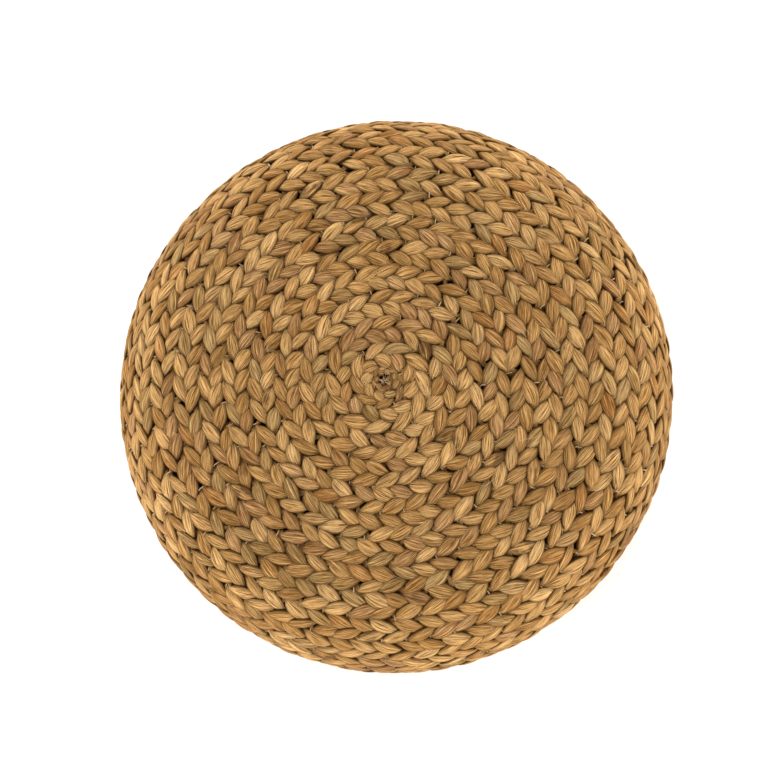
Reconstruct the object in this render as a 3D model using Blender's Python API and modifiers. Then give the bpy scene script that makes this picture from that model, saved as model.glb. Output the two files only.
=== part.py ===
"""Round chair seat pad, plaited from water hyacinth over a foam filling.

One three-strand plait is coiled from the top centre out to the widest line, and a second one from the
base centre up to meet it there. Inside the plaited cover are a cloth liner, polyester wadding and two
layers of foam. The pad rests on its flat base at z = 0, with +Z up and its centre line on the Z axis.
"""
from math import atan2, cos, floor, pi, radians, sin

import bpy

# Outside of the pad, in metres
pad_radius = 0.200
pad_height = 0.120
crown_slope = radians(10)          # the gentle crown ends where the surface slopes this much
shoulder_radius = 0.064            # rounding from the crown down to the widest line

# The plait, whose section is a flattened hexagon
plait_width = 0.0177
plait_thickness = 0.0095
plait_face_width = 0.0110          # flat part of the section, on both faces
tail_width = 0.0050                # the plait's thin end, tucked in at each centre
knot_radius = 0.0055               # tied fibre ends that the coil starts around
knot_height = 0.0065
knot_sink = 0.0002                 # how far its end lies inside the outline

# What is under the plait
liner_thickness = 0.0008
wadding_thickness = 0.0080
comfort_foam_height = 0.030        # soft foam above the firm slab, measured at its rim
coil_thread_diameter = 0.0012
liner_thread_diameter = 0.0010

# Clearances
turn_gap = 0.0003                  # between neighbouring turns of the coil, and at its butted ends
layer_gap = 0.0005                 # between one layer and the next
thread_gap = 0.0003                # between a thread and the pieces it joins

steps_per_turn = 24
stations_per_bend = 5              # corners of a layer's profile in the crown, the shoulder and the heel
step = 2 * pi / steps_per_turn
start_azimuth = radians(60)        # where the top coil starts, turned from +X towards +Y

# Worked out from the sizes above. Lengths run down the middle of the plait from the top centre.
pitch = plait_width + turn_gap
middle_depth = plait_thickness / 2
crown_edge_radius = pad_radius - shoulder_radius * (1 - sin(crown_slope))
crown_radius = crown_edge_radius / sin(crown_slope)
crown_rise = crown_radius * (1 - cos(crown_slope))
widest_height = pad_height - crown_rise - shoulder_radius * cos(crown_slope)
heel_radius = widest_height
base_flat_radius = pad_radius - heel_radius
crown_length = (crown_radius - middle_depth) * crown_slope
widest_length = crown_length + (shoulder_radius - middle_depth) * (pi / 2 - crown_slope)
heel_end_length = widest_length + (heel_radius - middle_depth) * pi / 2
outline_length = heel_end_length + base_flat_radius
end_setback = middle_depth * sin(step / 2) + turn_gap   # the butted ends are cut square to their last chords
bend_sink = plait_face_width ** 2 / (8 * min(shoulder_radius, heel_radius))  # flat faces cut across bends
liner_depth = plait_thickness + bend_sink + layer_gap
wadding_depth = liner_depth + liner_thickness + layer_gap
foam_depth = wadding_depth + wadding_thickness + layer_gap


def outline_point(length, depth):
    """Radius, height and slope this deep inside the pad, at a length from the top centre."""
    if length < crown_length:
        slope = length / (crown_radius - middle_depth)
        radius = (crown_radius - depth) * sin(slope)
        height = pad_height - crown_radius + (crown_radius - depth) * cos(slope)
    elif length < widest_length:
        slope = crown_slope + (length - crown_length) / (shoulder_radius - middle_depth)
        radius = pad_radius - shoulder_radius + (shoulder_radius - depth) * sin(slope)
        height = widest_height + (shoulder_radius - depth) * cos(slope)
    elif length < heel_end_length:
        slope = pi / 2 + (length - widest_length) / (heel_radius - middle_depth)
        radius = base_flat_radius + (heel_radius - depth) * sin(slope)
        height = heel_radius + (heel_radius - depth) * cos(slope)
    else:
        slope = pi
        radius = outline_length - length
        height = depth
    return radius, height, slope


def plait_place(length, scale=1):
    """Radius, height and slope of the plait's middle, with both edges of its outer face on the outline."""
    half_face = plait_face_width * scale / 2
    near_radius, near_height, near_slope = outline_point(length - half_face, 0)
    far_radius, far_height, far_slope = outline_point(length + half_face, 0)
    slope = atan2(near_height - far_height, far_radius - near_radius)
    radius = (near_radius + far_radius) / 2 - middle_depth * scale * sin(slope)
    height = (near_height + far_height) / 2 - middle_depth * scale * cos(slope)
    return radius, height, slope


def groove_place(length, outside):
    """The same for a thread that two turns hold, in the groove outside or inside the cover."""
    near_radius, near_height, near_slope = plait_place(length - pitch / 2)
    far_radius, far_height, far_slope = plait_place(length + pitch / 2)
    half = plait_width / 2
    edge_radius = (near_radius + half * cos(near_slope) + far_radius - half * cos(far_slope)) / 2
    edge_height = (near_height - half * sin(near_slope) + far_height + half * sin(far_slope)) / 2
    slope = (near_slope + far_slope) / 2
    bend = (far_slope - near_slope) / 2
    flank = atan2((plait_width - plait_face_width) / 2, middle_depth) + (bend if outside else -bend)
    reach = (coil_thread_diameter / 2 + thread_gap - turn_gap / 2 * cos(flank)) / sin(flank)
    if not outside:
        reach = -reach
    return edge_radius + reach * sin(slope), edge_height + reach * cos(slope), slope


def coil_edge(angle, first_edge):
    """Length from the coil's own centre to its outer edge, at a turning angle from its start."""
    return first_edge + pitch * angle / (2 * pi)


def coil_row(angle, centre_radius):
    """Length from the coil's own centre to the plait's middle, and the plait's width there."""
    first_edge = centre_radius + turn_gap + tail_width
    outer = coil_edge(angle, first_edge)
    if angle < 2 * pi:
        inner = centre_radius + turn_gap + (tail_width + turn_gap) * angle / (2 * pi)
    else:
        inner = coil_edge(angle - 2 * pi, first_edge) + turn_gap
    return (outer + inner) / 2, outer - inner


# The top coil ends at the widest line, and the base coil is sized to butt against it there
top_first_edge = knot_radius + turn_gap + tail_width
top_steps = round((widest_length + pitch / 2 - top_first_edge) / pitch * steps_per_turn)
top_angle = top_steps * step
closing_edge = coil_edge(top_angle - 2 * pi, top_first_edge) + turn_gap
base_run = outline_length - closing_edge - top_first_edge
base_steps = floor(base_run / pitch * steps_per_turn)
base_angle = base_steps * step
base_knot_radius = knot_radius + base_run - base_steps * pitch / steps_per_turn
end_azimuth = start_azimuth - top_angle
base_start_azimuth = end_azimuth - base_angle


def add_collection(name):
    collection = bpy.data.collections.new(name)
    bpy.context.scene.collection.children.link(collection)
    return collection


def add_material(name, colour, roughness):
    material = bpy.data.materials.new(name)
    material.use_nodes = True
    shader = material.node_tree.nodes["Principled BSDF"]
    shader.inputs["Base Color"].default_value = (*colour, 1)
    shader.inputs["Roughness"].default_value = roughness
    shader.inputs["Metallic"].default_value = 0
    material.diffuse_color = (*colour, 1)
    return material


def add_object(name, data, colour, roughness):
    piece = bpy.data.objects.new(name, data)
    data.materials.append(add_material(name, colour, roughness))
    pad.objects.link(piece)
    return piece


def poly_spline(curve, points, cyclic=False):
    """Adds a straight-segment spline through (x, y, z, tilt, scale) points."""
    spline = curve.splines.new("POLY")
    spline.points.add(len(points) - 1)
    spline.use_cyclic_u = cyclic
    for point, (x, y, z, tilt, scale) in zip(spline.points, points):
        point.co = (x, y, z, 1)
        point.tilt = tilt
        point.radius = scale


def plait_section():
    """The hexagon that is swept along the coils: wide and flat, with a face up and a face down."""
    curve = bpy.data.curves.new("plait_section", "CURVE")
    curve.dimensions = "2D"
    half_face = plait_face_width / 2
    half_depth = plait_thickness / 2
    corners = [
        (plait_width / 2, 0),
        (half_face, half_depth),
        (-half_face, half_depth),
        (-plait_width / 2, 0),
        (-half_face, -half_depth),
        (half_face, -half_depth),
    ]
    poly_spline(curve, [(x, y, 0, 0, 1) for x, y in reversed(corners)], cyclic=True)
    section = bpy.data.objects.new("plait_section", curve)
    section.hide_render = True
    section.display_type = "WIRE"
    guides.objects.link(section)
    return section


def path_point(azimuth, turn, place, scale=1):
    """A curve point at an azimuth, tilted so that a section swept through it lies along the surface."""
    radius, height, slope = place
    return radius * cos(azimuth), radius * sin(azimuth), height, turn * slope, scale


def plait_coil(name, section, start, turn, end_angle, centre_radius, from_base, colour):
    """A spiral of plait. It starts at an azimuth, turns one way, and grows out from a centre."""
    points = []
    angle = 0.0
    while angle < end_angle + step / 2:
        here = min(angle, end_angle - end_setback / pad_radius)
        middle, width = coil_row(here, centre_radius)
        lean = atan2(pitch / (2 * pi), middle)
        scale = width * cos(lean) / plait_width
        length = outline_length - middle if from_base else middle
        points.append(path_point(start + turn * here, turn, plait_place(length, scale), scale))
        angle += step
    curve = bpy.data.curves.new(name, "CURVE")
    curve.dimensions = "3D"
    curve.twist_mode = "Z_UP"
    curve.bevel_mode = "OBJECT"
    curve.bevel_object = section
    curve.use_fill_caps = True
    poly_spline(curve, points)
    return add_object(name, curve, colour, 0.75)


def thread_path(name, diameter, points, colour, cyclic=False):
    curve = bpy.data.curves.new(name, "CURVE")
    curve.dimensions = "3D"
    curve.bevel_depth = diameter / 2
    curve.bevel_resolution = 0
    curve.use_fill_caps = not cyclic
    poly_spline(curve, points, cyclic)
    return add_object(name, curve, colour, 0.6)


def groove_thread(name, start, turn, first_angle, last_angle, centre_radius, from_base, outside, colour):
    """A thread along the groove between one turn of a coil and the next."""
    first_edge = centre_radius + turn_gap + tail_width
    points = []
    angle = first_angle
    while angle < last_angle + step / 2:
        edge = coil_edge(angle, first_edge) + turn_gap / 2
        length = outline_length - edge if from_base else edge
        points.append(path_point(start + turn * angle, turn, groove_place(length, outside)))
        angle += step
    return thread_path(name, coil_thread_diameter, points, colour)


def liner_seam_thread(name, length, colour):
    """A ring of stitching between two panels of the liner, at a length along the outside."""
    place = outline_point(length, liner_depth + liner_thickness / 2)
    points = [path_point(i * step, 1, place) for i in range(steps_per_turn)]
    return thread_path(name, liner_thread_diameter, points, colour, cyclic=True)


def turned(name, profile, closed, colour, roughness):
    """A solid of revolution. Its (radius, height) profile runs down the outside, top to bottom."""
    mesh = bpy.data.meshes.new(name)
    edges = [(i, i + 1) for i in range(len(profile) - 1)]
    if closed:
        edges.append((len(profile) - 1, 0))
    mesh.from_pydata([(radius, 0, height) for radius, height in profile], edges, [])
    piece = add_object(name, mesh, colour, roughness)
    screw = piece.modifiers.new("turn", "SCREW")
    screw.steps = steps_per_turn
    screw.render_steps = steps_per_turn
    screw.use_merge_vertices = True
    screw.merge_threshold = 0.00001
    screw.use_smooth_shade = True
    return piece


def outline_run(first, last, depth):
    """(radius, height) points this deep inside the pad, between two lengths from the top centre.

    Every layer turns its corners at the same stations, so that the layers nest.
    """
    stations = []
    bends = [0, crown_length, widest_length, heel_end_length]
    for low, high in zip(bends, bends[1:]):
        stations += [low + (high - low) * i / stations_per_bend for i in range(stations_per_bend)]
    stations.append(heel_end_length)
    between = [length for length in stations if first + layer_gap < length < last - layer_gap]
    return [outline_point(length, depth)[:2] for length in [first, *between, last]]


def shell(name, first, last, depth, thickness, colour, roughness):
    """A layer of cloth or wadding that follows the outline between two lengths from the top centre."""
    outer = outline_run(first, last, depth)
    inner = outline_run(first, last, depth + thickness)
    if last == outline_length:
        return turned(name, inner[::-1] + outer, False, colour, roughness)
    return turned(name, outer + inner[::-1], first > 0, colour, roughness)


def foam_layer(name, low, high, colour):
    """The part of the foam between two heights."""
    points = outline_run(0, outline_length, foam_depth)
    profile = []
    for (r0, z0), (r1, z1) in zip(points, points[1:]):
        if z0 > high >= z1 and z0 > z1:
            share = (z0 - high) / (z0 - z1)
            profile += [(0, high), (r0 + (r1 - r0) * share, high)]
        if not profile and z0 <= high:
            profile.append((r0, z0))
        if low <= z1 < high:
            profile.append((r1, z1))
        if z0 > low > z1:
            share = (z0 - low) / (z0 - z1)
            profile += [(r0 + (r1 - r0) * share, low), (0, low)]
    return turned(name, profile, False, colour, 0.9)


def centre_knot(name, radius, base_side, colour):
    """The tied fibre ends at the middle of a coil: a small button, widest level with the plait's tail."""
    edge_depth = middle_depth * tail_width / plait_width
    bevel = edge_depth - knot_sink
    shoulder = radius - bevel
    top = pad_height - knot_sink
    if base_side:
        top = knot_sink + knot_height
    bottom = top - knot_height
    profile = [
        (0, top),
        (shoulder, top),
        (radius, top - bevel),
        (radius, bottom + bevel),
        (shoulder, bottom),
        (0, bottom),
    ]
    return turned(name, profile, False, colour, 0.8)


def build():
    tan = (0.42, 0.24, 0.10)
    dry_tan = (0.38, 0.22, 0.10)
    pale_thread = (0.62, 0.50, 0.34)
    liner_black = (0.03, 0.025, 0.02)
    wadding_white = (0.80, 0.80, 0.78)
    section = plait_section()

    plait_coil("top_plait_coil", section, start_azimuth, -1, top_angle, knot_radius, False, tan)
    plait_coil("base_plait_coil", section, base_start_azimuth, 1, base_angle, base_knot_radius, True, dry_tan)
    groove_thread("top_coil_stitching", start_azimuth, -1, step, top_angle - 2 * pi,
                  knot_radius, False, False, pale_thread)
    groove_thread("base_coil_stitching", base_start_azimuth, 1, step, base_angle - 2 * pi,
                  base_knot_radius, True, False, pale_thread)
    groove_thread("closing_seam_thread", start_azimuth, -1, top_angle - 2 * pi + step, top_angle - step,
                  knot_radius, False, True, pale_thread)
    centre_knot("top_centre_knot", knot_radius, False, dry_tan)
    centre_knot("base_centre_knot", base_knot_radius, True, dry_tan)

    top_seam = crown_length
    base_seam = heel_end_length
    liner_edge = liner_thread_diameter / 2 + thread_gap
    shell("liner_top_panel", 0, top_seam - liner_edge, liner_depth, liner_thickness, liner_black, 0.9)
    shell("liner_side_band", top_seam + liner_edge, base_seam - liner_edge, liner_depth, liner_thickness,
          liner_black, 0.9)
    shell("liner_base_panel", base_seam + liner_edge, outline_length, liner_depth, liner_thickness,
          liner_black, 0.9)
    liner_seam_thread("liner_top_seam", top_seam, liner_black)
    liner_seam_thread("liner_base_seam", base_seam, liner_black)

    wadding_edge = layer_gap / 2
    shell("wadding_top", 0, top_seam - wadding_edge, wadding_depth, wadding_thickness, wadding_white, 0.95)
    shell("wadding_side", top_seam + wadding_edge, base_seam - wadding_edge, wadding_depth,
          wadding_thickness, wadding_white, 0.95)
    shell("wadding_base", base_seam + wadding_edge, outline_length, wadding_depth, wadding_thickness,
          wadding_white, 0.95)

    comfort_base = outline_point(top_seam, foam_depth)[1] - comfort_foam_height
    foam_layer("comfort_foam", comfort_base + layer_gap / 2, pad_height, (0.85, 0.78, 0.45))
    foam_layer("firm_foam_slab", 0, comfort_base - layer_gap / 2, (0.60, 0.66, 0.70))


for old in list(bpy.data.objects):
    bpy.data.objects.remove(old, do_unlink=True)
pad = add_collection("chair_seat_pad")
guides = add_collection("guides")
build()
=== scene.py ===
# %% [markdown]
# # A round seat pad of plaited water hyacinth
# The pad is one long three-strand plait, coiled like a snail shell over a soft filling. A second coil covers
# its base. This lesson models every strand of both plaits along its real path, so the humps, the gaps
# between them and the chevrons all come from the plaiting itself and not from a pattern painted on a dome.

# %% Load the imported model
from math import copysign, cos, pi, radians, sin

import bmesh
import bpy
import numpy as np
from mathutils import Matrix, Vector, noise


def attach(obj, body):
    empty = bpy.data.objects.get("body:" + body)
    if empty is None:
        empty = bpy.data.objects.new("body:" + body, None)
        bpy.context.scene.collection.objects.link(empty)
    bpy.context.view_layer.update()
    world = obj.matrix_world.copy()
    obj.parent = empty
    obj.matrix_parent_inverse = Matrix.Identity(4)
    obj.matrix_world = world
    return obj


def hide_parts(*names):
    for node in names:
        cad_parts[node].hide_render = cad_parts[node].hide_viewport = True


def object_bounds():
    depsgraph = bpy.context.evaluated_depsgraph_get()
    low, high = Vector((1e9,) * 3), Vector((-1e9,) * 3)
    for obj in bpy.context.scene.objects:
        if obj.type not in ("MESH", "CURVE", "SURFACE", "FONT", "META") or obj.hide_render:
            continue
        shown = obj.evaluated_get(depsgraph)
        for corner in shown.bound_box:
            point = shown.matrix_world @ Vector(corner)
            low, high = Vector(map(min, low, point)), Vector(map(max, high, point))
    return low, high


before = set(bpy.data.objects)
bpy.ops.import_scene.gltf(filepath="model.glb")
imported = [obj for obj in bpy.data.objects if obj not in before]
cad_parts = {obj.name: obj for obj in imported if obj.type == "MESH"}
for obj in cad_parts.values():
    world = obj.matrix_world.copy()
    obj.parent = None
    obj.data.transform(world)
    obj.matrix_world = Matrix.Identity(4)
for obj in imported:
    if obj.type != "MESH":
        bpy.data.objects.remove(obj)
cad_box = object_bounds()
print("packed nodes:", len(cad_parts))

# %% [markdown]
# ## Sizes
# The outside of the pad is a gentle crown, a rounder shoulder down to the widest line and a heel that turns
# in under the pad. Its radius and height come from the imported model. The plait's sizes are what a maker
# would call out: how wide and thick a turn is, and how far a strand travels before it repeats.

# %% Sizes of the pad and the plait
pad_radius = max(abs(side) for corner in cad_box for side in corner[:2])
pad_height = cad_box[1][2]
crown_slope = radians(10)
shoulder_radius = 0.064
turn_width = 0.018            # from one turn of the coil to the next
plait_thickness = 0.0095
knot_radius = 0.0055
tail_width = 0.0053           # the plait's thin end at the centre, with its gap
start_width = 0.0056          # the plaiting starts this narrow, one curl further in than the tail
centre_hole = 0.0019
centre_period = 0.040         # along the plait, one repeat of a strand: a hump towards each edge
rim_period = 0.051            # the plaiting gets looser towards the rim
narrow_power = 0.6            # and tighter where the plait is narrow
strand_width = 0.0112
strand_thickness = 0.0043
start_azimuth = radians(60)
turn_parts = 24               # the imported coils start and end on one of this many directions
print(f"pad {pad_radius * 2000:.0f} mm across, {pad_height * 1000:.0f} mm high")

# %% [markdown]
# ## The outline as a function
# Every layer follows the same outline, so one function turns a length measured from the top centre, and a
# depth below the surface, into a radius and a height. The lengths run down the middle of the plait, where
# neighbouring turns touch.

# %% Outline of the pad
middle_depth = plait_thickness / 2
crown_edge_radius = pad_radius - shoulder_radius * (1 - sin(crown_slope))
crown_radius = crown_edge_radius / sin(crown_slope)
crown_rise = crown_radius * (1 - cos(crown_slope))
heel_radius = pad_height - crown_rise - shoulder_radius * cos(crown_slope)
base_flat_radius = pad_radius - heel_radius
crown_length = (crown_radius - middle_depth) * crown_slope
widest_length = crown_length + (shoulder_radius - middle_depth) * (pi / 2 - crown_slope)
heel_end_length = widest_length + (heel_radius - middle_depth) * pi / 2
outline_length = heel_end_length + base_flat_radius


def outline(length, depth):
    """Radius, height and slope of the outline at lengths from the top centre, this deep inside it."""
    length, depth = np.broadcast_arrays(np.asarray(length, float), np.asarray(depth, float))
    on_crown = length < crown_length
    on_shoulder = length < widest_length
    on_heel = length < heel_end_length
    slope = np.select(
        [on_crown, on_shoulder, on_heel],
        [
            length / (crown_radius - middle_depth),
            crown_slope + (length - crown_length) / (shoulder_radius - middle_depth),
            pi / 2 + (length - widest_length) / (heel_radius - middle_depth),
        ],
        pi,
    )
    bend = np.select([on_crown, on_shoulder, on_heel], [crown_radius, shoulder_radius, heel_radius], 0)
    centre = np.select([on_crown, on_shoulder], [0, pad_radius - shoulder_radius], base_flat_radius)
    level = np.select([on_crown, on_shoulder], [pad_height - crown_radius, heel_radius], heel_radius)
    radius = centre + (bend - depth) * np.sin(slope)
    height = level + (bend - depth) * np.cos(slope)
    flat = ~on_heel
    radius = np.where(flat, outline_length - length, radius)
    height = np.where(flat, depth, height)
    return radius, height, slope


print(f"from the top centre to the widest line is {widest_length * 1000:.0f} mm,"
      f" to the base centre {outline_length * 1000:.0f} mm")

# %% [markdown]
# ## The coil
# Each turn of the coil sits outside the last one, so the plait's outer edge is an Archimedean spiral, which
# moves out by one turn width each time round. The thin tail fills the first turn. Going round, the angle
# is the same for a turn near the centre and one near the rim, but the length of plait is not, so the plaiting
# is counted by length.

# %% The spiral that both coils follow
steps_per_turn = 240


class Coil:
    """Places along one coil: the spiral's angle, the length along the plait, and the plaiting's phase."""

    def __init__(self, name, from_base, start, turn, turns, centre_radius):
        self.name = name
        self.from_base = from_base
        self.start = start
        self.turn = turn
        self.first_edge = centre_radius + tail_width
        self.angle = np.linspace(-2 * pi, turns * 2 * pi, int((turns + 1) * steps_per_turn))
        middle, width = self.row(self.angle)
        radius, height, slope = outline(self.length(middle), middle_depth)
        steps = np.hypot(np.diff(height), np.diff(self.angle) * (radius[1:] + radius[:-1]) / 2)
        self.run = np.concatenate([[0], np.cumsum(steps)])
        looser = np.clip(middle / widest_length, 0, 1)
        period = centre_period + (rim_period - centre_period) * looser
        period = period * (width / turn_width) ** narrow_power
        strides = np.diff(self.run) / ((period[1:] + period[:-1]) / 2)
        self.phase = np.concatenate([[0], np.cumsum(strides)]) * 2 * pi

    def edge(self, angle):
        """Distance along the outline from the coil's centre to the plait's outer edge."""
        turn = angle / (2 * pi)
        curl = start_width + (self.first_edge - start_width) * (turn + 1)
        return np.where(turn < 0, curl, self.first_edge + turn_width * turn)

    def row(self, angle):
        """Distance along the outline from the coil's centre to the plait's middle, and its width there."""
        outer = self.edge(angle)
        curl = centre_hole + (start_width - centre_hole) * (angle / (2 * pi) + 1)
        inner = np.where(angle < 0, curl, self.edge(angle - 2 * pi))
        return (outer + inner) / 2, outer - inner

    def length(self, middle):
        return outline_length - middle if self.from_base else middle

    def place(self, angle, distance, depth):
        """Points in space, with the directions out of the pad and across the row, away from the centre."""
        radius, height, slope = outline(self.length(distance), depth)
        azimuth = self.start + self.turn * angle
        east, north = np.cos(azimuth), np.sin(azimuth)
        points = np.stack([radius * east, radius * north, height], 1)
        outward = np.stack([np.sin(slope) * east, np.sin(slope) * north, np.cos(slope)], 1)
        across = np.stack([np.cos(slope) * east, np.cos(slope) * north, -np.sin(slope)], 1)
        return points, outward, -across if self.from_base else across


top_run = widest_length + turn_width / 2 - knot_radius - tail_width
top_turns = round(top_run / turn_width * turn_parts) / turn_parts
closing_edge = knot_radius + tail_width + turn_width * (top_turns - 1)
base_run = outline_length - closing_edge - knot_radius - tail_width
base_turns = int(base_run / turn_width * turn_parts) / turn_parts
base_knot_radius = knot_radius + base_run - base_turns * turn_width
base_start = start_azimuth - (top_turns + base_turns) * 2 * pi
top_coil = Coil("top", False, start_azimuth, -1, top_turns, knot_radius)
base_coil = Coil("base", True, base_start, 1, base_turns, base_knot_radius)
for coil in (top_coil, base_coil):
    print(f"{coil.name} coil: {coil.run[-1]:.2f} m of plait, {coil.phase[-1] / 2 / pi:.0f} repeats")

# %% [markdown]
# ## One strand of the plait
# A strand of a three-strand plait swings from edge to edge once a repeat, and rises and dips twice. The
# three strands do the same a third of a repeat apart, which is all that plaiting is. Two sine waves would do
# for a round cord. A flat stem takes its time going over and hurries back under, which makes the humps long
# and slim. So its swing, its lift and its leaf-shaped width come from three tables of one repeat, made of
# straight runs and half sines with their corners rounded.

# %% Tables of one repeat
over_share = 0.84             # of half a repeat, how much a strand spends going outwards over the others
edge_share = 0.08             # and how much turning round at the edge, before it goes back under them
hump_centre = over_share * pi / 2
tip_width = 0.30              # of the strand's full width, where a hump starts and ends
buried_width = 0.50           # added to that in the middle of the way back under
wave_phases = np.arange(720) * pi / 360


def rounded(values, softness):
    """A table of one repeat with its corners rounded over this many half degrees."""
    reach = int(3 * softness)
    weights = np.exp(-0.5 * (np.arange(-reach, reach + 1) / softness) ** 2)
    wrapped = np.concatenate([values[-reach:], values, values[:reach]])
    return np.convolve(wrapped, weights / weights.sum(), "valid")


half = wave_phases % pi / pi
out_share = over_share - edge_share / 2
back_share = 1 - out_share - edge_share
away = np.minimum(np.minimum(half / out_share, 1), (1 - half) / back_share)
swing_wave = rounded(away * np.where(wave_phases < pi, 1, -1), 15)
swing_wave /= swing_wave.max()
over = np.sin(pi * np.minimum(half / over_share, 1)) ** 0.7
under = np.sin(pi * np.clip((half - over_share) / (1 - over_share), 0, 1))
lift_wave = rounded(over - under, 10)
leaf = np.sin(pi * np.minimum(half / over_share, 1)) ** 0.92
width_wave = rounded(tip_width + (1 - tip_width) * leaf + buried_width * under, 7)
print(f"a strand is at its highest {lift_wave.argmax() / 2:.0f} degrees after it crosses the row's middle,"
      f" and {width_wave.min() * 100:.0f}% of its full width where it is narrowest")


def at_phase(table, phase):
    return np.interp(phase % (2 * pi), np.append(wave_phases, 2 * pi), np.append(table, table[0]))


# %% [markdown]
# ## No two humps alike
# Dried stems are uneven, so each hump gets its own place, width, height and lean. A seeded random number for
# each hump, which changes to the next one while the strand is buried, keeps every hump smooth. The points
# crowd on the humps, because the way back under is never seen.

# %% Path of a strand
points_per_repeat = 22
rise_height = 0.0015
sit_depth = 0.0043            # from the outline down to the middle of the plaiting
edge_inset = 0.10             # of the strand's width, how far its middle stays inside the row's edge
outward_lean = radians(9)     # a hump's face leans a little towards the edge that it swings to
lean_spread = 0.16            # radians more or less, from hump to hump
hump_wander = 0.28            # radians of the plaiting's phase that a hump may be early or late
size_power = 0.62             # where the plait is narrow its strands are thinner, but not in proportion
flattest = 0.72               # thickness of a buried strand, and what a hump adds to it
hump_fullness = 0.30


def eased(share):
    return share * share * (3 - 2 * share)


def hump_values(rng, phase, low, high, sharpness=3):
    """A random value for each hump. It changes where the strand is buried, the faster the sharper."""
    places = (phase - hump_centre) / pi
    count = int(places.max() - places.min()) + 4
    table = rng.uniform(low, high, count)
    at = places - np.floor(places.min()) + 1
    lower = np.floor(at).astype(int)
    share = eased(np.clip((at - lower - 0.5) * sharpness + 0.5, 0, 1))
    return table[lower] * (1 - share) + table[np.minimum(lower + 1, count - 1)] * share


def strand_phases(coil, number):
    """Phases of the plaiting where a strand gets a point: closer together on the humps than underneath."""
    fine = np.linspace(0, coil.phase[-1], int(coil.phase[-1] * 20))
    density = 1 + 0.5 * np.cos(2 * (fine + number * 2 * pi / 3 - hump_centre))
    total = np.concatenate([[0], np.cumsum((density[1:] + density[:-1]) / 2)])
    count = int(coil.phase[-1] / (2 * pi) * points_per_repeat)
    return np.interp(np.linspace(0, total[-1], count), total, fine)


def strand_path(coil, number, rng):
    """Points, facing directions, widths and thicknesses along one strand, its swing's phase and its lift."""
    steady = strand_phases(coil, number)
    phase = steady + number * 2 * pi / 3
    wander = hump_values(rng, phase, -hump_wander, hump_wander)
    angle = np.interp(np.clip(steady + wander, 0, coil.phase[-1]), coil.phase, coil.angle)
    middle, width = coil.row(angle)
    size = (width / turn_width) ** size_power
    lift = at_phase(lift_wave, phase)
    swing = at_phase(swing_wave, phase)
    full = ((1 + lift) / 2) ** 1.1
    widths = size * at_phase(width_wave, phase) * hump_values(rng, phase, 0.86, 1.14)
    thicknesses = size * (flattest + hump_fullness * full) * hump_values(rng, phase, 0.85, 1.15)
    reach = width / 2 - strand_width * size * edge_inset
    aside = swing * reach * hump_values(rng, phase, 0.86, 1.12)
    rise = lift * rise_height * size ** 0.5 * hump_values(rng, phase, 0.75, 1.20)
    points, outward, across = coil.place(angle, middle + aside, sit_depth - rise)
    lean = outward_lean * swing + hump_values(rng, phase, -lean_spread, lean_spread)
    facing = outward * np.cos(lean)[:, None] + across * np.sin(lean)[:, None]
    return points, facing, widths, thicknesses, phase, lift


# %% [markdown]
# ## Sweeping a tube
# A curve with another curve as its bevel object sweeps that section along its points, and each point can
# turn it with its tilt. The curve is then kept as a mesh, because the next step moves its vertices. The mesh
# has one ring of vertices for each point, in order, which makes them easy to reach as an array.

# %% Sweep a section along points
def sweep_section(width, thickness, sides, roundness=1.0):
    """Flattened oval that is swept along a path. Below 1, roundness flattens its faces."""
    curve = bpy.data.curves.new("section", "CURVE")
    spline = curve.splines.new("POLY")
    spline.points.add(sides - 1)
    spline.use_cyclic_u = True
    for i, point in enumerate(spline.points):
        turn = -2 * pi * i / sides
        across = copysign(abs(cos(turn)) ** roundness, cos(turn))
        out = copysign(abs(sin(turn)) ** roundness, sin(turn))
        point.co = (across * width / 2, out * thickness / 2, 0, 1)
    section = bpy.data.objects.new("section", curve)
    bpy.context.scene.collection.objects.link(section)
    return section


def tilts(points, facing):
    """Turn about the path that brings the section's thin way, which Blender starts upright, to face out."""
    ahead = np.zeros_like(points)
    steps = np.diff(points, axis=0)
    steps /= np.linalg.norm(steps, axis=1, keepdims=True)
    ahead[1:-1] = steps[1:] + steps[:-1]
    ahead[0], ahead[-1] = steps[0], steps[-1]
    ahead /= np.linalg.norm(ahead, axis=1, keepdims=True)
    upright = np.array([0, 0, 1]) - ahead * ahead[:, 2:3]
    upright /= np.linalg.norm(upright, axis=1, keepdims=True)
    side = np.cross(ahead, upright)
    return np.arctan2((facing * side).sum(1), (facing * upright).sum(1))


def sweep(name, runs, section):
    """One mesh of closed tubes. Each run is (points, tilt, scale), with a value or a row for each point."""
    curve = bpy.data.curves.new(name, "CURVE")
    curve.dimensions = "3D"
    curve.twist_mode = "Z_UP"
    curve.bevel_mode = "OBJECT"
    curve.bevel_object = section
    for points, tilt, scale in runs:
        spline = curve.splines.new("POLY")
        spline.points.add(len(points) - 1)
        spline.points.foreach_set("co", np.column_stack([points, np.ones(len(points))]).ravel())
        spline.points.foreach_set("tilt", np.broadcast_to(tilt, len(points)).astype(float))
        spline.points.foreach_set("radius", np.broadcast_to(scale, len(points)).astype(float))
    path = bpy.data.objects.new(name, curve)
    bpy.context.scene.collection.objects.link(path)
    mesh = bpy.data.meshes.new_from_object(path.evaluated_get(bpy.context.evaluated_depsgraph_get()))
    mesh.name = name
    bpy.data.objects.remove(path)
    shape = bmesh.new()
    shape.from_mesh(mesh)
    bmesh.ops.holes_fill(shape, edges=[edge for edge in shape.edges if edge.is_boundary], sides=0)
    bmesh.ops.recalc_face_normals(shape, faces=shape.faces)
    shape.to_mesh(mesh)
    shape.free()
    mesh.shade_smooth()
    piece = bpy.data.objects.new(name, mesh)
    bpy.context.scene.collection.objects.link(piece)
    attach(piece, "root")
    return piece


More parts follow.
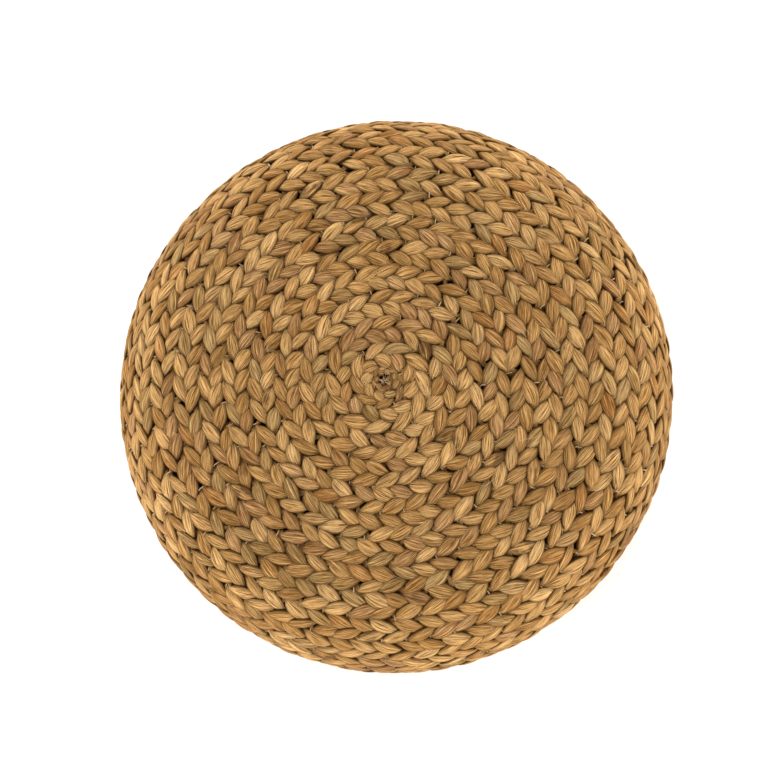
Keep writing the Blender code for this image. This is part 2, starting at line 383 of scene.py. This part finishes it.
def store(piece, name, values):
    """Keep a number, or a row of three, for each vertex, for the material to read."""
    kind = "FLOAT" if values.ndim == 1 else "FLOAT_VECTOR"
    attribute = piece.data.attributes.new(name, kind, "POINT")
    attribute.data.foreach_set("value" if values.ndim == 1 else "vector", values.astype(np.float32).ravel())


# %% [markdown]
# ## Making the strands uneven
# A dried stem isn't a smooth tube. It collapses as it dries, so it carries long creases and ripples. Pushing
# the rings' vertices in along creases that wander round the stem gives each hump its own folded face. Three
# things are stored for the material: the place in the straightened strand, so that fibres follow the strand
# wherever it turns, three random tones for each hump, and how buried the vertex is, which it is where the
# strand goes under and along its two flanks. The material darkens those buried places, partly as dust and
# partly as painted shade.

# %% Creases and ripples
section_sides = 20
around = np.arange(section_sides) * 2 * pi / section_sides
creases = 3
ripples = ((5, 0.035), (8, 0.022))    # how many there are around the strand, and how deep they are


def folded(rng, phase):
    """What creases and ripples leave of each vertex's distance from the strand's middle.

    A crease whose depth comes out below zero is left off that hump.
    """
    rings = np.ones((len(phase), section_sides))
    for _ in range(creases):
        where = hump_values(rng, phase, radians(25), radians(155), 1.5)
        deep = hump_values(rng, phase, -0.10, 0.26)
        wide = hump_values(rng, phase, 0.22, 0.40)
        offset = (around[None, :] - where[:, None]) / wide[:, None]
        rings -= np.clip(deep, 0, 1)[:, None] * np.exp(-offset * offset)
    for count, deep in ripples:
        start = hump_values(rng, phase, 0, 2 * pi, 1.2)
        rings += deep * np.sin(count * around[None, :] + start[:, None])
    return rings


print(f"{creases} creases and {sum(count for count, deep in ripples)} ripples around each strand")

# %% Both plaits
side_give = 0.4               # of the pull, how much also narrows the strand
strand_spacing = 20           # keeps the fibres of one strand from repeating those of the next


def plaited_strand(coil, number, seed, section):
    rng = np.random.default_rng(seed)
    points, facing, widths, thicknesses, phase, lift = strand_path(coil, number, rng)
    piece = sweep(f"{coil.name}_strand_{number + 1}", [(points, tilts(points, facing), 1)], section)
    count = len(piece.data.vertices)
    rings = np.empty(count * 3)
    piece.data.vertices.foreach_get("co", rings)
    rings = rings.reshape(len(points), section_sides, 3) - points[:, None, :]
    if abs(rings.mean(1)).max() > 0.0005:
        raise ValueError("the rings aren't in the order of the points")
    out = (rings * facing[:, None, :]).sum(2)[..., None] * facing[:, None, :]
    side = rings - out
    pull = folded(rng, phase)[..., None]
    narrowed = 1 + (pull - 1) * side_give
    shaped = side * widths[:, None, None] * narrowed + out * thicknesses[:, None, None] * pull
    shaped += points[:, None, :]
    piece.data.vertices.foreach_set("co", shaped.ravel())
    piece.data.update()
    steps = np.linalg.norm(np.diff(points, axis=0), axis=1)
    along = np.concatenate([[0], np.cumsum(steps)])
    straight = np.empty((len(points), section_sides, 3))
    straight[..., 0] = np.cos(around) * strand_width / 2
    straight[..., 1] = np.sin(around) * strand_width / 2
    straight[..., 2] = along[:, None] + number * strand_spacing
    store(piece, "straight", straight.reshape(-1, 3))
    tone = np.stack([hump_values(rng, phase, 0, 1, 6) for _ in range(3)], 1)
    store(piece, "tone", np.repeat(tone, section_sides, 0))
    # How buried each vertex is, at the humps' ends and along their flanks; the material darkens it there with
    # dust and painted shade.
    ends = eased(np.clip((0.75 - lift) / 1.5, 0, 1))[:, None]
    flanks = np.clip(abs(np.cos(around)) * 5 - 3.6, 0, 1)[None, :]
    store(piece, "buried", (1 - (1 - ends) * (1 - flanks)).ravel())
    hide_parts(f"{coil.name}_plait_coil")
    print(piece.name, len(points), "rings,", len(piece.data.polygons) * 2, "triangles")
    return piece


strand_numbers = (0, 1, 2)
section = sweep_section(strand_width, strand_thickness, section_sides, roundness=0.88)
top_strands = [plaited_strand(top_coil, number, 11 + number, section) for number in strand_numbers]
base_strands = [plaited_strand(base_coil, number, 47 + number, section) for number in strand_numbers]
bpy.data.objects.remove(section)

# %% [markdown]
# ## Sewing the turns together
# A plait that is only coiled would unroll, so each turn is sewn to the last one with a long whip stitch. The
# thread winds round the groove between two turns, three times in one repeat of the plaiting. From above it
# shows as short pale stitches that cross the dark gaps. So its path is a helix laid along the groove, leaning
# a little, so that each stitch crosses the groove at a slant.

# %% Whip stitches in the grooves
thread_diameter = 0.0008
stitches_per_repeat = 3
stitch_reach = 0.0034         # to each side of the groove
stitch_height = 0.0020        # up and down
stitch_depth = 0.0046         # from the outline down to the helix's middle
stitch_lean = 0.9             # of a radian of its winding
points_per_stitch = 12
thread_section = sweep_section(thread_diameter, thread_diameter, 6)


def whip_stitch(name, coil, first_angle, last_angle, replaced, seed):
    rng = np.random.default_rng(seed)
    first, last = np.interp([first_angle, last_angle], coil.angle, coil.phase)
    count = int((last - first) * stitches_per_repeat / (2 * pi) * points_per_stitch)
    winding = np.linspace(stitches_per_repeat * first, stitches_per_repeat * last, count)
    leaning = winding + stitch_lean * np.cos(winding)
    angle = np.interp(leaning / stitches_per_repeat, coil.phase, coil.angle)
    reach = stitch_reach * hump_values(rng, winding / 2, 0.7, 1.2)
    height = stitch_height * hump_values(rng, winding / 2, 0.6, 1.25)
    distance = coil.edge(angle) + reach * np.cos(winding)
    points, outward, across = coil.place(angle, distance, stitch_depth - height * np.sin(winding))
    piece = sweep(name, [(points, 0, 1)], thread_section)
    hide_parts(replaced)
    print(name, len(piece.data.polygons) * 2, "triangles")
    return piece


one_step = 2 * pi / turn_parts
top_seam = (top_turns - 1) * 2 * pi
top_end = top_turns * 2 * pi
base_end = (base_turns - 1) * 2 * pi
stitching = [
    whip_stitch("top_whip_stitch", top_coil, one_step, top_seam, "top_coil_stitching", 71),
    whip_stitch("base_whip_stitch", base_coil, one_step, base_end, "base_coil_stitching", 72),
    whip_stitch("closing_whip_stitch", top_coil, top_seam + one_step, top_end - one_step,
                "closing_seam_thread", 73),
]

# %% [markdown]
# ## Fibre ends
# Where the plaiting starts, the stems are tied in a small knot, and their frayed ends stand up in the hole.
# The knot is a tube along a trefoil, the simplest closed knot. The same kind of thin tapered tube makes the
# hairs that dried stems shed, which lie over the rows and stick out past the edge.

# %% Centre knots
fibre_section = sweep_section(1, 1, 4)      # one metre across: each hair is scaled down to its own thickness
knot_section = sweep_section(0.0017, 0.0013, 10)
loop_size = 0.00078
loop_rise = 0.0009
knot_depth = 0.0068           # the knot's middle, below the top or above the underside


def trefoil_knot(name, base_side, replaced):
    turn = np.linspace(0, 2 * pi, 61)
    loop = np.stack([
        loop_size * (np.sin(turn) + 2 * np.sin(2 * turn)),
        loop_size * (np.cos(turn) - 2 * np.cos(2 * turn)),
        -loop_rise * np.sin(3 * turn),
    ], 1)
    loop[:, 2] = loop[:, 2] + knot_depth if base_side else pad_height - knot_depth - loop[:, 2]
    piece = sweep(name, [(loop, 0, 1)], knot_section)
    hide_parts(replaced)
    return piece


knots = [
    trefoil_knot("top_start_knot", False, "top_centre_knot"),
    trefoil_knot("base_start_knot", True, "base_centre_knot"),
]
bpy.data.objects.remove(knot_section)
print("each knot is", " x ".join(f"{side * 1000:.1f}" for side in knots[0].dimensions), "mm")

# %% Frayed ends and stray fibres
tuft_count = 11
tuft_depth = 0.0034
top_stray_count = 240
base_stray_count = 150


def hairs(name, starts, directions, lifts, lengths, thickness, rng):
    """Thin tubes that taper to a quarter, each arched and bent sideways by its own amount."""
    runs = []
    for start, direction, lift, length in zip(starts, directions, lifts, lengths):
        share = np.linspace(0, 1, 6)[:, None]
        sideways = np.cross(direction, lift)
        bend = rng.uniform(-0.35, 0.35) * length
        arch = rng.uniform(0.4, 1.0)
        points = start + direction * share * length + sideways * bend * share ** 2
        points = points + lift * (share * (1.3 - share)) * arch
        taper = thickness * rng.uniform(0.7, 1.3) * (1 - 0.75 * share[:, 0])
        runs.append((points, 0, taper))
    return sweep(name, runs, fibre_section)


def stray_hairs(coil, count, seed):
    """Hairs that lie across and along the rows, starting a little below the humps' tops."""
    rng = np.random.default_rng(seed)
    angle = np.sqrt(rng.uniform(0, 1, count)) * coil.angle[-1]
    middle, width = coil.row(angle)
    distance = middle + rng.uniform(-0.5, 0.5, count) * width
    starts, outward, across = coil.place(angle, distance, rng.uniform(0.0010, 0.0030, count))
    ahead = np.cross(outward, across)
    turn = rng.normal(0, 0.7, count)[:, None]
    directions = ahead * np.cos(turn) + across * np.sin(turn)
    lengths = rng.uniform(0.004, 0.014, count)
    return hairs(f"{coil.name}_stray_fibres", starts, directions, outward * 0.0022, lengths, 0.00032, rng)


def centre_tuft(name, base_side, seed):
    """Frayed ends that fan out from the centre hole, a little above level."""
    rng = np.random.default_rng(seed)
    turn = rng.uniform(0, 2 * pi, tuft_count)
    out = np.stack([np.cos(turn), np.sin(turn), np.zeros(tuft_count)], 1)
    up = -1.0 if base_side else 1.0
    level = tuft_depth if base_side else pad_height - tuft_depth
    starts = out * 0.0006 + np.array([0, 0, level])
    steep = rng.uniform(0.12, 0.5, tuft_count)[:, None]
    directions = out * np.cos(steep) + np.array([0, 0, up]) * np.sin(steep)
    lifts = np.tile([0, 0, up * 0.0016], (tuft_count, 1))
    lengths = rng.uniform(0.0025, 0.0048, tuft_count)
    return hairs(name, starts, directions, lifts, lengths, 0.00045, rng)


fibres = [
    centre_tuft("top_fibre_ends", False, 81),
    centre_tuft("base_fibre_ends", True, 82),
    stray_hairs(top_coil, top_stray_count, 83),
    stray_hairs(base_coil, base_stray_count, 84),
]
for piece in knots + fibres:
    print(piece.name, len(piece.data.polygons) * 2, "triangles")
bpy.data.objects.remove(fibre_section)

# %% [markdown]
# ## The liner, the wadding and the foam
# Under the plait is a dark cloth liner of three panels, which holds the filling. Its dark colour keeps the
# gaps in the plait dark, and stands in for the shade deep in them as painted shade. Inside it a batt of
# wadding wraps two layers of foam. A cloth simulation could puff them up, but the cover holds them tight and
# hides them, so
# each is a turned shape: a profile of the outline, spun once round the axis. Cloth and wadding are never
# quite even, so noise then moves their vertices a little, the same way on both faces.

# %% Depths of the layers
round_steps = 72
merge_distance = 0.00002
liner_thickness = 0.0008
wadding_thickness = 0.0080
layer_gap = 0.0005
plait_face_width = 0.0110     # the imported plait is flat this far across, so it cuts across the bends
bend_sink = plait_face_width ** 2 / (8 * min(shoulder_radius, heel_radius))
liner_depth = plait_thickness + bend_sink + layer_gap
wadding_depth = liner_depth + liner_thickness + layer_gap
foam_depth = wadding_depth + wadding_thickness + layer_gap
seam_edge = 0.0008            # left free at each edge of a liner panel, for the seam
print(f"liner {liner_depth * 1000:.1f} mm deep, wadding {wadding_depth * 1000:.1f} mm,"
      f" foam {foam_depth * 1000:.1f} mm")

# %% Spinning a profile
def spun(name, profile, replaced):
    """A closed turned solid from its (radius, height) profile, which may start and end on the axis."""
    shape = bmesh.new()
    corners = [shape.verts.new((max(radius, 0), 0, height)) for radius, height in profile]
    on_axis = profile[0][0] < 1e-6
    edges = [shape.edges.new(pair) for pair in zip(corners, corners[1:])]
    if not on_axis:
        edges.append(shape.edges.new((corners[-1], corners[0])))
    bmesh.ops.spin(shape, geom=corners + edges, cent=(0, 0, 0), axis=(0, 0, 1), dvec=(0, 0, 0), angle=2 * pi,
                   steps=round_steps, use_merge=True, use_duplicate=False)
    bmesh.ops.remove_doubles(shape, verts=shape.verts, dist=merge_distance)
    bmesh.ops.recalc_face_normals(shape, faces=shape.faces)
    mesh = bpy.data.meshes.new(name)
    shape.to_mesh(mesh)
    shape.free()
    mesh.shade_smooth()
    piece = bpy.data.objects.new(name, mesh)
    bpy.context.scene.collection.objects.link(piece)
    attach(piece, "root")
    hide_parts(replaced)
    return piece


def outline_run(first, last, depth, spacing=0.006):
    """(radius, height) points this deep inside the pad, between two lengths from the top centre."""
    lengths = np.linspace(first, last, max(3, int((last - first) / spacing)))
    radius, height, slope = outline(lengths, depth)
    return list(zip(radius, height))


def uneven(piece, size, amount):
    """Move vertices out from the pad's middle and back by noise, the same way on both faces."""
    for vertex in piece.data.vertices:
        place = vertex.co
        push = noise.noise(place / size) * amount
        away = Vector((place.x, place.y, (place.z - pad_height / 2) * 2)).normalized()
        vertex.co = place + away * push


def layer(name, first, last, depth, thickness, replaced):
    """A shell that follows the outline between two lengths from the top centre."""
    outer = outline_run(first, last, depth)
    inner = outline_run(first, last, depth + thickness)
    if first == 0:
        outer[0], inner[0] = (0, outer[0][1]), (0, inner[0][1])
    if last == outline_length:
        outer[-1], inner[-1] = (0, outer[-1][1]), (0, inner[-1][1])
        return spun(name, outer[::-1] + inner, replaced)
    return spun(name, outer + inner[::-1], replaced)


def foam(name, low, high, replaced):
    """The part of the filling between two heights: a disc whose side follows the outline."""
    lengths = np.linspace(0, outline_length, 260)
    radius, height, slope = outline(lengths, foam_depth)
    inside = (height >= low) & (height <= high)
    rows = list(zip(radius[inside], height[inside]))[::3]
    side = rows[1:] if rows[0][0] < 1e-6 else rows
    profile = [(0, rows[0][1]), *side, (0, rows[-1][1])]
    return spun(name, profile, replaced)


# %% Liner panels, wadding and foam
comfort_thickness = 0.030     # of the soft foam, at the edge of the crown
comfort_base = float(outline(crown_length, foam_depth)[1]) - comfort_thickness
liners = [
    layer("liner_top", 0, crown_length - seam_edge, liner_depth, liner_thickness, "liner_top_panel"),
    layer("liner_side", crown_length + seam_edge, heel_end_length - seam_edge, liner_depth, liner_thickness,
          "liner_side_band"),
    layer("liner_base", heel_end_length + seam_edge, outline_length, liner_depth, liner_thickness,
          "liner_base_panel"),
]
waddings = [
    layer("wadding_over_crown", 0, crown_length - layer_gap, wadding_depth, wadding_thickness, "wadding_top"),
    layer("wadding_round_side", crown_length + layer_gap, heel_end_length - layer_gap, wadding_depth,
          wadding_thickness, "wadding_side"),
    layer("wadding_under_base", heel_end_length + layer_gap, outline_length, wadding_depth,
          wadding_thickness, "wadding_base"),
]
foams = [
    foam("soft_foam_layer", comfort_base + layer_gap, pad_height, "comfort_foam"),
    foam("firm_foam_base", 0, comfort_base - layer_gap, "firm_foam_slab"),
]
for piece in liners:
    uneven(piece, 0.03, 0.0003)
for piece in waddings + foams:
    uneven(piece, 0.02, 0.0003)
for piece in liners + waddings + foams:
    print(piece.name, len(piece.data.vertices), "vertices")

# %% [markdown]
# ## The liner's seams and its cut pieces
# Two rings of lockstitch join the liner's panels. Cloth is cut flat, so the size that each panel is cut to is
# also worked out and printed: a round panel's width is an arc over the pad, and the side band is as long as
# the pad is round.

# %% Liner seams
seam_stitches = 240


def seam_ring(name, length, replaced):
    """Lockstitch thread between two liner panels: it rises and dips once a stitch."""
    count = seam_stitches * 6
    turn = np.linspace(0, 2 * pi, count, endpoint=False)
    dip = 0.0002 * np.sin(turn * seam_stitches)
    radius, height, slope = outline(np.full(count, length), liner_depth + liner_thickness / 2 + dip)
    points = np.stack([radius * np.cos(turn), radius * np.sin(turn), height], 1)
    piece = sweep(name, [(points, 0, 0.8)], thread_section)
    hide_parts(replaced)
    return piece


seams = [
    seam_ring("liner_top_stitching", crown_length, "liner_top_seam"),
    seam_ring("liner_base_stitching", heel_end_length, "liner_base_seam"),
]
bpy.data.objects.remove(thread_section)
for piece in seams:
    print(piece.name, len(piece.data.polygons) * 2, "triangles")

# %% Flat sizes of the liner's panels
def face_area(piece):
    """Area of a thin piece's outer face: half of its whole skin."""
    return sum(face.area for face in piece.data.polygons) / 2


top_cut = 2 * (crown_length - seam_edge)
base_cut = 2 * (outline_length - heel_end_length - seam_edge)
band_width = heel_end_length - crown_length - 2 * seam_edge
band_length = 2 * pi * (pad_radius - liner_depth)
cuts = [(top_cut, top_cut), (band_length, band_width), (base_cut, base_cut)]
for piece, cut, below in zip(liners, cuts, waddings):
    print(f"{piece.name}: cut {cut[0] * 1000:.0f} x {cut[1] * 1000:.0f} mm, {face_area(piece):.3f} m2")

# %% [markdown]
# ## Writing a material as a sum
# Most of a shader is arithmetic on noise. One small class holds an output of a node and lets Python's
# operators add the Math nodes, and one method of the material adds any other node. A formula then reads as
# a formula.

# %% Values
class Value:
    """Something that varies over a surface: an output of one of a finish's nodes."""

    def __init__(self, finish, socket):
        self.finish = finish
        self.socket = socket

    def combine(self, operation, first, second):
        return self.finish.node("ShaderNodeMath", {0: first, 1: second}, operation=operation)

    def __add__(self, other):
        return self.combine("ADD", self, other)

    def __radd__(self, other):
        return self.combine("ADD", other, self)

    def __sub__(self, other):
        return self.combine("SUBTRACT", self, other)

    def __rsub__(self, other):
        return self.combine("SUBTRACT", other, self)

    def __mul__(self, other):
        return self.combine("MULTIPLY", self, other)

    def __rmul__(self, other):
        return self.combine("MULTIPLY", other, self)

    def __pow__(self, other):
        return self.combine("POWER", self, other)

    def __abs__(self):
        return self.finish.node("ShaderNodeMath", {0: self}, operation="ABSOLUTE")

    def held(self):
        """The same value, kept between 0 and 1."""
        return self.finish.node("ShaderNodeMath", {0: self, 1: 0}, operation="ADD", use_clamp=True)


# %% Finishes
class Finish:
    """A material while it is being made."""

    def __init__(self, name, roughness, sheen=0.0, specular=0.5):
        self.material = bpy.data.materials.new(name)
        self.material.use_nodes = True
        self.nodes = self.material.node_tree.nodes
        self.links = self.material.node_tree.links
        self.shader = self.nodes["Principled BSDF"]
        self.shader.inputs["Roughness"].default_value = roughness
        self.shader.inputs["Sheen Weight"].default_value = sheen
        self.shader.inputs["Specular IOR Level"].default_value = specular

    def node(self, kind, inputs=None, output=0, stops=None, **settings):
        """Add any node. Its settings are set first, and then its sockets' values or links."""
        made = self.nodes.new(kind)
        for name, setting in settings.items():
            setattr(made, name, setting)
        if stops:
            ramp = made.color_ramp.elements
            while len(ramp) < len(stops):
                ramp.new(0.5)
            for element, (position, colour) in zip(ramp, stops):
                element.position = position
                element.color = (*colour, 1)
        for key, value in (inputs or {}).items():
            if isinstance(value, Value):
                self.links.new(value.socket, made.inputs[key])
            else:
                made.inputs[key].default_value = value
        return Value(self, made.outputs[output])

    def mix(self, share, first, second, blend="MIX"):
        """Blend two colours."""
        sides = {6: first, 7: second}
        sides = {key: side if isinstance(side, Value) else (*side, 1) for key, side in sides.items()}
        return self.node("ShaderNodeMix", {0: share, **sides}, output=2, data_type="RGBA", blend_type=blend)

    def noise(self, place, scale, detail=2.0, stretch=(1, 1, 1)):
        place = self.node("ShaderNodeVectorMath", {0: place, 1: stretch}, operation="MULTIPLY")
        return self.node("ShaderNodeTexNoise", {"Vector": place, "Scale": scale, "Detail": detail})

    def attribute(self, name, output="Vector"):
        return self.node("ShaderNodeAttribute", attribute_name=name, output=output)

    def object_place(self):
        return self.node("ShaderNodeTexCoord", output="Object")

    def feed(self, socket, value):
        self.links.new(value.socket, self.shader.inputs[socket])

    def raise_surface(self, height, strength, distance):
        bump = self.node("ShaderNodeBump", {"Height": height, "Strength": strength, "Distance": distance})
        self.feed("Normal", bump)


def give(finish, pieces):
    for piece in pieces:
        piece.data.materials.clear()
        piece.data.materials.append(finish.material)


# %% [markdown]
# ## Dried water hyacinth
# A dried stem is tan, with fine pale and dark fibres along it and long creases. No two stems match: most are
# golden, some grey-green from being cut young, some mauve or rusty, and a few have dark stains. The hump
# tones pick these. The fibres are noise on the straightened strand, drawn out along it. The creases' thin
# dark lines are painted shade. The ends and the flanks of the humps, where they tuck under, are darker:
# partly the dust that they keep, partly painted shade of the gaps between the humps.

# %% Colours of dried stems
stem_shades = [
    (0.0, (0.250, 0.116, 0.030)),
    (0.35, (0.395, 0.206, 0.066)),
    (0.7, (0.522, 0.294, 0.106)),
    (1.0, (0.665, 0.408, 0.172)),
]
mauve_stem = (0.270, 0.130, 0.062)
olive_stem = (0.235, 0.160, 0.064)
rusty_stem = (0.340, 0.125, 0.030)
green_patch = (0.225, 0.165, 0.070)
dark_stain = (0.060, 0.030, 0.013)
pale_fibre_colour = (0.74, 0.47, 0.19)
dark_fibre_colour = (0.140, 0.052, 0.005)
# painted shade: the thin dark lines along the creases
crease_shade_colour = (0.100, 0.036, 0.003)
# dust and painted shade, where the humps tuck under
dust_and_shade_colour = (0.060, 0.021, 0.001)
fibre_grain = 1500            # fibres and creases are finer, the higher the number
crease_grain = 760
patch_grain = 170
print(len(stem_shades), "shades of straw, and mauve, olive and rusty stems")

# %% Hyacinth
def hyacinth(name, brightness, dust_and_shade):
    """Dried stems. Dust and painted shade darken them by this share where they are buried."""
    finish = Finish(name, roughness=0.72, specular=0.04)
    straight = finish.attribute("straight")
    light = finish.node("ShaderNodeSeparateXYZ", {0: finish.attribute("tone")})
    tones = light.socket.node.outputs
    hue = Value(finish, tones[1])
    stain = Value(finish, tones[2])
    buried = finish.attribute("buried", "Fac")

    fine = finish.noise(straight, fibre_grain, 2, (1, 1, 0.05))
    coarse = finish.noise(straight, crease_grain, 2, (1, 1, 0.06))
    patch = finish.noise(straight, patch_grain, 3, (1, 1, 0.5))
    crease = (abs(coarse - 0.5) * 10).held()

    shade = (light * 0.66 + patch * 0.7 - 0.16).held()
    colour = finish.node("ShaderNodeValToRGB", {0: shade}, stops=stem_shades)
    mauve = ((0.17 - hue) * 14).held()
    olive = ((abs(hue - 0.27) * -1 + 0.09) * 16).held()
    rust = ((hue - 0.93) * 22).held()
    colour = finish.mix(mauve * 0.50, colour, mauve_stem)
    colour = finish.mix(olive * 0.55, colour, olive_stem)
    colour = finish.mix(rust * (patch * 1.2).held() * 0.75, colour, rusty_stem)
    green = ((patch - 0.60) * 6).held()
    colour = finish.mix(green * 0.35, colour, green_patch)
    stained = ((0.035 - stain) * 40).held() * ((patch - 0.46) * 9).held()
    colour = finish.mix(stained * 0.8, colour, dark_stain)

    pale_fibre = ((fine - 0.54) * 10).held()
    dark_fibre = ((0.46 - fine) * 13).held()
    colour = finish.mix(pale_fibre * 0.44, colour, pale_fibre_colour)
    colour = finish.mix(dark_fibre * 0.84, colour, dark_fibre_colour)
    # Painted shade: thin dark lines along the creases, where the patch noise lets them show.
    creased = ((patch - 0.40) * 6).held()
    colour = finish.mix((1 - crease) * creased * 0.50, colour, crease_shade_colour)
    # Dust and painted shade: the buried ends and flanks of the humps are darkened.
    colour = finish.mix((buried ** 0.9) * dust_and_shade, colour, dust_and_shade_colour)
    colour = finish.mix(1.0, colour, (brightness, brightness, brightness), "MULTIPLY")
    finish.feed("Base Color", colour)
    finish.feed("Roughness", 0.62 + fine * 0.25)
    finish.raise_surface(fine + coarse * 0.3 + crease * 0.5, 1.0, 0.0013)
    return finish


give(hyacinth("hyacinth_top", brightness=1.03, dust_and_shade=0.93), top_strands)
give(hyacinth("hyacinth_base", brightness=1.0, dust_and_shade=0.94), base_strands)
print(len(top_strands[0].active_material.node_tree.nodes), "nodes in the hyacinth's material")

# %% [markdown]
# ## Thread and fibre ends
# The sewing thread is split from the same plant, paler because it is thin and clean. The fibre ends and the
# stray hairs are paler still. All get a little noise so that no stitch matches the next.

# %% Thread and fibres
def fibre(name, dark, pale, size):
    """Thread or hair whose shade drifts between two colours over this many metres."""
    finish = Finish(name, roughness=0.65)
    place = finish.object_place()
    share = finish.noise(place, 1 / size, 2)
    thin = finish.noise(place, 6 / size, 2)
    shade = ((share - 0.3) * 2.2).held()
    colour = finish.node("ShaderNodeValToRGB", {0: shade}, stops=[(0, dark), (1, pale)])
    colour = finish.mix(((0.5 - thin) * 4).held() * 0.5, colour, dark)
    finish.feed("Base Color", colour)
    finish.feed("Roughness", 0.55 + thin * 0.3)
    finish.raise_surface(thin, 0.6, 0.0002)
    return finish


give(fibre("sewing_thread", (0.24, 0.15, 0.065), (0.52, 0.37, 0.20), 0.012), stitching)
give(fibre("knotted_fibre", (0.20, 0.11, 0.045), (0.45, 0.29, 0.13), 0.003), knots)
give(fibre("fibre_ends", (0.32, 0.19, 0.08), (0.62, 0.44, 0.23), 0.006), fibres)

# %% [markdown]
# ## Cloth, wadding and foam
# The liner is a coarse dark cloth: two sets of fine waves at right angles stand for its warp and weft. The
# wadding is a cloud of white fibre. The foams are cells of two sizes, small in the soft layer and larger in
# the firm one.

# %% Liner cloth and filling
wave_period = 0.31            # metres from one band of a wave texture to the next, at a scale of 1


def cloth(name, dark, pale, pitch):
    """Plain weave with this far from one thread to the next."""
    finish = Finish(name, roughness=0.9, sheen=0.3)
    place = finish.object_place()
    threads = {"Vector": place, "Scale": wave_period / pitch, "Distortion": 0.6}
    warp = finish.node("ShaderNodeTexWave", threads, output=1, bands_direction="X")
    weft = finish.node("ShaderNodeTexWave", threads, output=1, bands_direction="Y")
    slub = finish.noise(place, 90, 3)
    weave = warp * 0.5 + weft * 0.5
    colour = finish.mix((weave * 0.7 + slub * 0.4 - 0.1).held(), dark, pale)
    finish.feed("Base Color", colour)
    finish.raise_surface(weave, 0.5, 0.0003)
    return finish


def wadded(name, dark, pale):
    """Loose white fibre."""
    finish = Finish(name, roughness=0.95, sheen=0.4)
    place = finish.object_place()
    fluff = finish.noise(place, 130, 6)
    hair = finish.noise(place, 900, 3)
    finish.feed("Base Color", finish.mix((fluff * 1.4 - 0.2).held(), dark, pale))
    finish.raise_surface(fluff * 0.6 + hair * 0.4, 0.6, 0.0012)
    return finish


def foamed(name, dark, pale, cell):
    """Open-cell foam with cells of this size."""
    finish = Finish(name, roughness=0.9)
    place = finish.object_place()
    pores = finish.node("ShaderNodeTexVoronoi", {"Vector": place, "Scale": 1 / cell}, output=0)
    tint = finish.noise(place, 25, 2)
    finish.feed("Base Color", finish.mix((pores * 1.1 + tint * 0.4 - 0.2).held(), dark, pale))
    finish.raise_surface(pores, 0.5, cell / 3)
    return finish


# The liner's dark colour also stands in for the shade deep in the plait's gaps: painted shade.
give(cloth("liner_cloth", (0.024, 0.010, 0.002), (0.065, 0.030, 0.007), 0.0012), liners)
give(fibre("liner_thread", (0.012, 0.010, 0.008), (0.05, 0.04, 0.03), 0.004), seams)
give(wadded("wadding", (0.62, 0.61, 0.57), (0.86, 0.86, 0.83)), waddings)
give(foamed("soft_foam", (0.60, 0.50, 0.24), (0.80, 0.72, 0.42), 0.0012), foams[:1])
give(foamed("firm_foam", (0.32, 0.37, 0.40), (0.52, 0.58, 0.62), 0.0020), foams[1:])
print(len(bpy.data.materials), "materials so far")

# %% [markdown]
# ## Camera, floor and light
# The pad is seen from nearly straight above, through a long lens. The studio is white all round, which fills
# every row with soft light, and a ring of six large lamps low around the pad gives its rim and the flanks of
# the humps a little more.

# %% Camera
view_height = radians(81.1)   # of the camera above the floor, as an angle
view_side = Vector((0.61, -0.79, 0)).normalized()
view_distance = 1.386
aim = Vector((-0.0071, 0.0071, 0.044))
eye = aim + view_distance * (cos(view_height) * view_side + sin(view_height) * Vector((0, 0, 1)))
back = (eye - aim).normalized()
right = Vector((0, 1, 0)).cross(back).normalized()
up = back.cross(right)
camera = bpy.data.objects.new("camera", bpy.data.cameras.new("camera"))
camera.matrix_world = Matrix((
    (right.x, up.x, back.x, eye.x),
    (right.y, up.y, back.y, eye.y),
    (right.z, up.z, back.z, eye.z),
    (0, 0, 0, 1),
))
camera.data.lens = 90
camera.data.sensor_width = 36
bpy.context.scene.collection.objects.link(camera)
bpy.context.scene.camera = camera
print(f"the camera is {eye.z:.2f} m up")

# %% Floor
floor_half_side = 3
mesh = bpy.data.meshes.new("floor")
shape = bmesh.new()
bmesh.ops.create_grid(shape, x_segments=1, y_segments=1, size=floor_half_side)
shape.to_mesh(mesh)
shape.free()
floor = bpy.data.objects.new("floor", mesh)
bpy.context.scene.collection.objects.link(floor)
paint = Finish("studio_floor", roughness=0.9)
paint.shader.inputs["Base Color"].default_value = (0.93, 0.93, 0.93, 1)
mesh.materials.append(paint.material)
print("floor", floor_half_side * 2, "m wide")

# %% Lights
ring_radius = 2.0
ring_height = 0.42
lamp_size = 0.8
first_lamp = 20               # degrees round the pad
lamp_powers = (24, 24, 28, 26, 24, 24)


def add_light(name, place, power):
    """A square lamp that faces the pad's foot."""
    lamp = bpy.data.lights.new(name, "AREA")
    lamp.size = lamp_size
    lamp.energy = power
    light = bpy.data.objects.new(name, lamp)
    light.location = place
    light.rotation_euler = (-Vector(place)).to_track_quat("-Z", "Y").to_euler()
    bpy.context.scene.collection.objects.link(light)


for number, power in enumerate(lamp_powers):
    turn = radians(first_lamp + 360 / len(lamp_powers) * number)
    place = (ring_radius * cos(turn), ring_radius * sin(turn), ring_height)
    add_light(f"side_{number + 1}", place, power)
world = bpy.data.worlds.new("studio")
world.use_nodes = True
world.node_tree.nodes["Background"].inputs["Color"].default_value = (1, 1, 1, 1)
world.node_tree.nodes["Background"].inputs["Strength"].default_value = 0.98
bpy.context.scene.world = world
bpy.context.scene.view_settings.view_transform = "Standard"
print(len(lamp_powers), "lamps,", sum(lamp_powers), "W")
